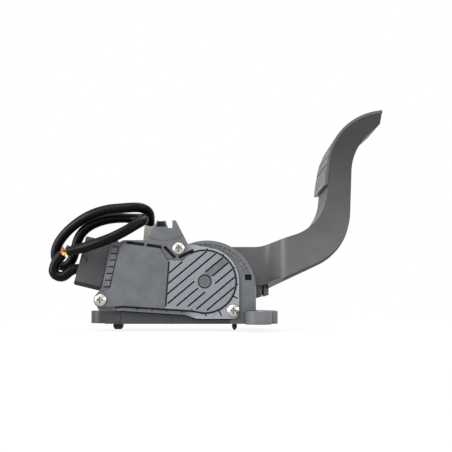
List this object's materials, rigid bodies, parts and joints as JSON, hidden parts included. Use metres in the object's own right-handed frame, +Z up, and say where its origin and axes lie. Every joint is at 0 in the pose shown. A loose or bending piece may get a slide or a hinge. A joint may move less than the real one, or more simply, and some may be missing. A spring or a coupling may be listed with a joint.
{
  "type": "accelerator pedal",
  "caption": "Floor-mounted electronic accelerator pedal: moulded sensor housing with ribbed side cover, sprung cranked pedal arm with textured pad, bolt lugs and a sleeved harness.",
  "frame": {"origin": "on the base's underside, midway between the two front bolt holes", "axes": "+X along the base towards the pedal's toe, +Y away from the sensor cover, +Z up, out of the floor the base is bolted to"},
  "size_m": [0.2379, 0.0716, 0.155],
  "materials": {
    "housing_plastic": "satin",
    "cover_plastic": "satin",
    "arm_plastic": "satin",
    "pad_plastic": "matte",
    "black_plastic": "matte",
    "plug_plastic": "satin",
    "sleeve": "gloss",
    "green_wire": "gloss",
    "red_wire": "gloss",
    "yellow_wire": "gloss",
    "nylon": "satin",
    "zinc": "satin",
    "steel": "satin",
    "bronze": "satin",
    "seal_rubber": "matte",
    "board": "matte"
  },
  "bodies": {
    "housing": {"housing": "housing_plastic", "mount_sleeves": "steel", "locating_clip": "black_plastic", "locating_pin": "black_plastic", "sensor_cover": "cover_plastic", "cover_seal": "seal_rubber", "cover_screws": "zinc", "sensor_board": "board", "hall_sensors": "black_plastic", "terminal_pins": "bronze", "near_bush": "bronze", "far_bush": "bronze", "friction_disc": "black_plastic", "harness_plug": "plug_plastic", "end_connector": "nylon", "lower_sleeve": "sleeve", "main_sleeve": "sleeve", "green_wire": "green_wire", "red_wire": "red_wire", "yellow_wire": "yellow_wire", "return_spring_outer": "steel", "return_spring_inner": "steel"},
    "pedal": {"pedal_arm": "arm_plastic", "pedal_pad": "pad_plastic", "pivot_shaft": "steel", "sensor_rotor": "black_plastic", "rotor_magnets": "steel", "spring_seat": "black_plastic"}
  },
  "joints": [
    {"name": "pedal_pivot", "type": "hinge", "parent": "housing", "child": "pedal", "pos_m": [-0.0363, 0, 0.0289], "axis": [0, 1, 0], "range_deg": [0, 14], "stiffness_Nm_per_rad": 9.5, "springref_deg": -14.9, "deforming": ["return_spring_outer", "return_spring_inner"]}
  ]
}
